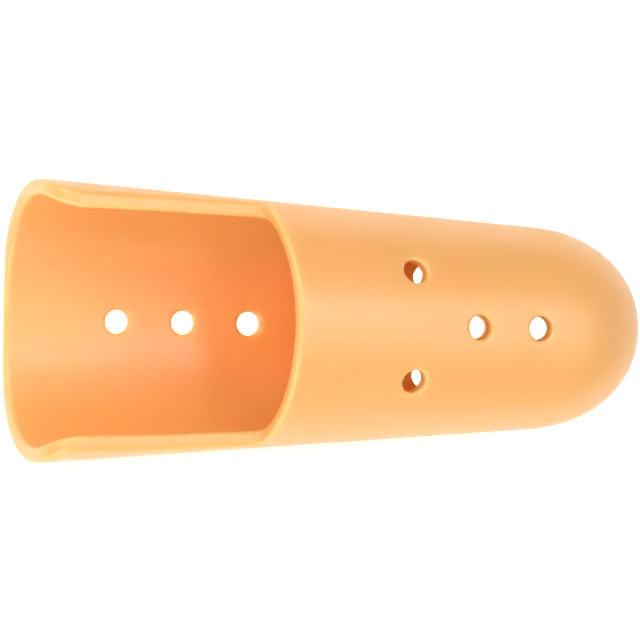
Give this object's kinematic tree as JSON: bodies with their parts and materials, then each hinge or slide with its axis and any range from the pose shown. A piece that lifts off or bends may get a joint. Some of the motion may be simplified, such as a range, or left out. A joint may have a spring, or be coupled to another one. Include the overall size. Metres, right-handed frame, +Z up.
{
  "type": "finger splint",
  "caption": "Rigid plastic fingertip splint: a tapered trough under the finger that closes into a round-ended cap over the fingertip, with ventilation holes.",
  "frame": {"origin": "on the surface that the splint rests on, under the middle of its length", "axes": "+X along the finger from the open mouth to the closed tip, +Z up towards the nail side, +Y to the side"},
  "size_m": [0.064, 0.0274, 0.0207],
  "materials": {
    "splint_plastic": "satin moulded polyethylene, flesh peach"
  },
  "bodies": {
    "root": {"splint_shell": "splint_plastic"}
  },
  "joints": []
}
